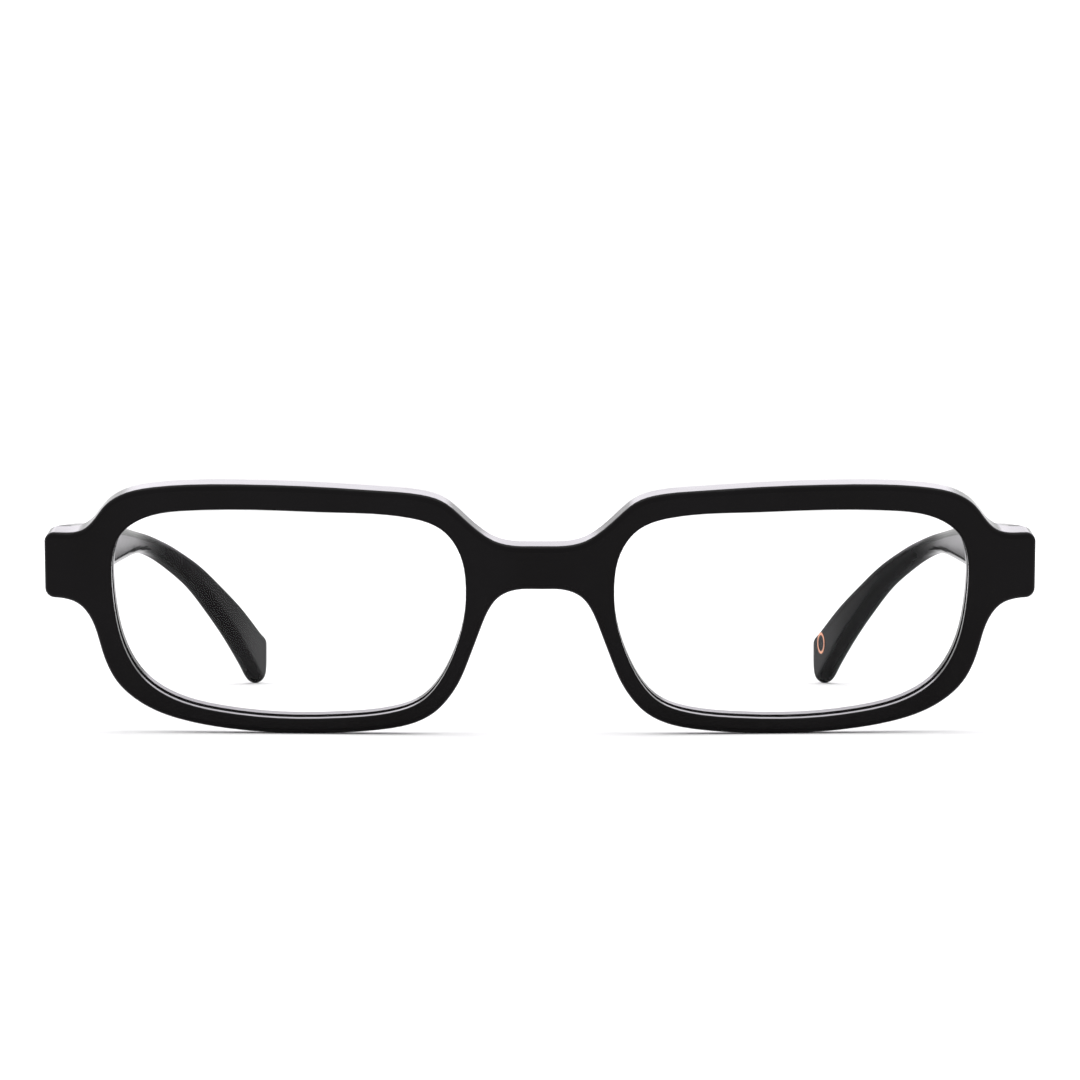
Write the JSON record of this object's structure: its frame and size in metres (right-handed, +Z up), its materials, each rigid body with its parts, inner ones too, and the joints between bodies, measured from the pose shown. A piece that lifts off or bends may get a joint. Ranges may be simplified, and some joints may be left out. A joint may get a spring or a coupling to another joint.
{
  "type": "eyeglasses frame",
  "caption": "Full-rim acetate eyeglasses frame with soft rectangular rims, a saddle bridge, clear lenses and folding temples with bent tips.",
  "frame": {"origin": "middle of the footprint, on the ground the frame stands on", "axes": "+Z up, the front looks along -Y, the temples run back along +Y, the wearer's left is +X"},
  "size_m": [0.1384, 0.1454, 0.0354],
  "materials": {
    "black_acetate": "polished black cellulose acetate",
    "clear_lens": "clear polished demonstration lens",
    "hinge_steel": "nickel silver, satin",
    "screw_steel": "bright steel",
    "core_wire": "nickel silver wire",
    "rose_metal": "rose gold plated, satin"
  },
  "bodies": {
    "front": {"front": "black_acetate", "lens_left": "clear_lens", "lens_right": "clear_lens", "nose_pad_left": "black_acetate", "nose_pad_right": "black_acetate", "hinge_front_leaf_left": "hinge_steel", "hinge_front_leaf_right": "hinge_steel", "hinge_screw_left": "screw_steel", "hinge_screw_right": "screw_steel"},
    "temple_left": {"temple_left": "black_acetate", "temple_core_left": "core_wire", "hinge_temple_leaf_left": "hinge_steel", "temple_tip_inlay": "rose_metal"},
    "temple_right": {"temple_right": "black_acetate", "temple_core_right": "core_wire", "hinge_temple_leaf_right": "hinge_steel"}
  },
  "joints": [
    {"name": "temple_left_fold", "type": "hinge", "parent": "front", "child": "temple_left", "pos_m": [0.0632, -0.05678, 0.02437], "axis": [0, -0.1564, 0.9877], "range_deg": [0, 88]},
    {"name": "temple_right_fold", "type": "hinge", "parent": "front", "child": "temple_right", "pos_m": [-0.0632, -0.05678, 0.02437], "axis": [0, 0.1564, -0.9877], "range_deg": [0, 80]}
  ]
}
